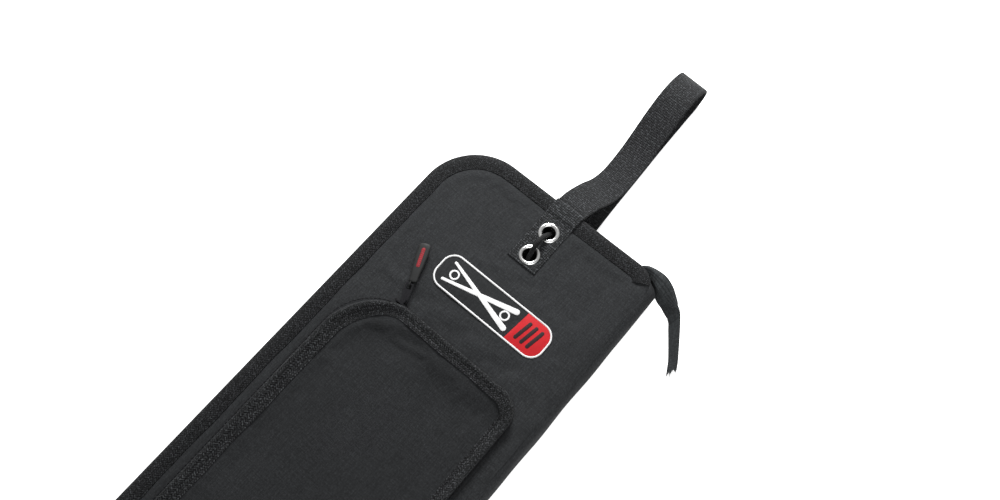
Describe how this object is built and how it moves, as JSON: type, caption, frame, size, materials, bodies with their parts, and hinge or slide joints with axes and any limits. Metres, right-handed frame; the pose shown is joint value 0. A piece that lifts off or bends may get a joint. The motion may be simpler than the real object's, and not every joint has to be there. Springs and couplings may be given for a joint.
{
  "type": "drum stick bag",
  "caption": "Zipped padded drum stick bag that opens like a book, with a webbing handle, tom cord, front pocket and inner stick pockets.",
  "frame": {"origin": "middle of the back cover's outer face, which the closed bag lies on", "axes": "+X from the zip side to the spine, +Y from the bottom edge to the handle, +Z from the back cover to the front cover"},
  "size_m": [0.2329, 0.6377, 0.036],
  "materials": {
    "cover_fabric": "woven polyester, matt",
    "binding_tape": "coarse herringbone tape, matt",
    "lining_fabric": "plain woven lining",
    "foam": "open-cell foam",
    "webbing": "ribbed webbing, slight sheen",
    "zip_tape": "knitted zip tape",
    "zip_coil": "moulded coil",
    "plated_metal": "bright nickel plate",
    "black_metal": "black gloss paint",
    "cord": "braided cord",
    "puller_rubber": "soft moulded rubber",
    "red_rubber": "soft moulded rubber",
    "badge_white": "soft moulded rubber"
  },
  "bodies": {
    "back_cover": {"back_shell": "cover_fabric", "back_foam": "foam", "back_lining": "lining_fabric", "back_binding": "binding_tape", "back_zip_tape": "zip_tape", "back_zip_teeth": "zip_coil", "back_spine_half": "cover_fabric", "back_stick_pocket": "lining_fabric", "back_stick_pocket_hem": "binding_tape", "handle_rear_leg": "webbing", "zip_tail_root": "zip_tape", "zip_bottom_stop": "black_metal"},
    "front_cover": {"front_shell": "cover_fabric", "front_foam": "foam", "front_lining": "lining_fabric", "front_binding": "binding_tape", "front_zip_tape": "zip_tape", "front_zip_teeth": "zip_coil", "front_spine_half": "cover_fabric", "front_stick_pocket": "lining_fabric", "front_stick_pocket_hem": "binding_tape", "eyelet_tab": "webbing", "upper_eyelet": "plated_metal", "lower_eyelet": "plated_metal", "upper_washer": "plated_metal", "lower_washer": "plated_metal", "tom_cord": "cord", "tom_cord_knot": "cord", "handle_front_leg": "webbing", "pocket_gusset": "cover_fabric", "pocket_face": "cover_fabric", "pocket_binding": "binding_tape", "pocket_lower_zip_tape": "zip_tape", "pocket_upper_zip_tape": "zip_tape", "pocket_lower_zip_teeth": "zip_coil", "pocket_upper_zip_teeth": "zip_coil", "badge_base": "puller_rubber", "badge_border": "badge_white", "badge_red_panel": "red_rubber"},
    "zip_tail": {"zip_tail": "zip_tape"},
    "main_slider": {"main_slider": "black_metal"},
    "main_pull": {"main_pull_tab": "black_metal"},
    "main_puller": {"main_puller": "puller_rubber", "main_puller_insert": "red_rubber"},
    "pocket_slider": {"pocket_slider": "black_metal"},
    "pocket_pull": {"pocket_pull_tab": "black_metal"},
    "pocket_puller": {"pocket_puller": "puller_rubber", "pocket_puller_insert": "red_rubber"}
  },
  "joints": [
    {"name": "cover_hinge", "type": "hinge", "parent": "back_cover", "child": "front_cover", "pos_m": [0.0943, 0, 0.012], "axis": [0, 1, 0], "range_deg": [0, 180]},
    {"name": "tail_swing", "type": "hinge", "parent": "back_cover", "child": "zip_tail", "pos_m": [0.0863, 0.2428, 0.012], "axis": [0, 0, 1], "range_deg": [0, 70]},
    {"name": "main_slider_slide", "type": "slide", "parent": "back_cover", "child": "main_slider", "axis": [-1, 0, 0], "range_m": [0, 0.1]},
    {"name": "main_pull_hinge", "type": "hinge", "parent": "main_slider", "child": "main_pull", "pos_m": [0.064, -0.2422, 0.012], "axis": [0, 0, 1], "range_deg": [0, 120]},
    {"name": "main_puller_hinge", "type": "hinge", "parent": "main_pull", "child": "main_puller", "pos_m": [0.0513, -0.2422, 0.012], "axis": [0, 0, 1], "range_deg": [0, 55]},
    {"name": "pocket_slider_slide", "type": "slide", "parent": "front_cover", "child": "pocket_slider", "axis": [1, 0, 0], "range_m": [0, 0.085]},
    {"name": "pocket_pull_swivel", "type": "hinge", "parent": "pocket_slider", "child": "pocket_pull", "pos_m": [-0.0392, 0.1076, 0.0285], "axis": [0, 0, 1], "range_deg": [-80, 55]},
    {"name": "pocket_puller_hinge", "type": "hinge", "parent": "pocket_pull", "child": "pocket_puller", "pos_m": [-0.04418, 0.11928, 0.0285], "axis": [0.9198, 0.3923, 0], "range_deg": [0, 100]}
  ],
  "couplings": [
    {"joint": "tail_swing", "follows": "cover_hinge", "ratio": 0.38}
  ]
}
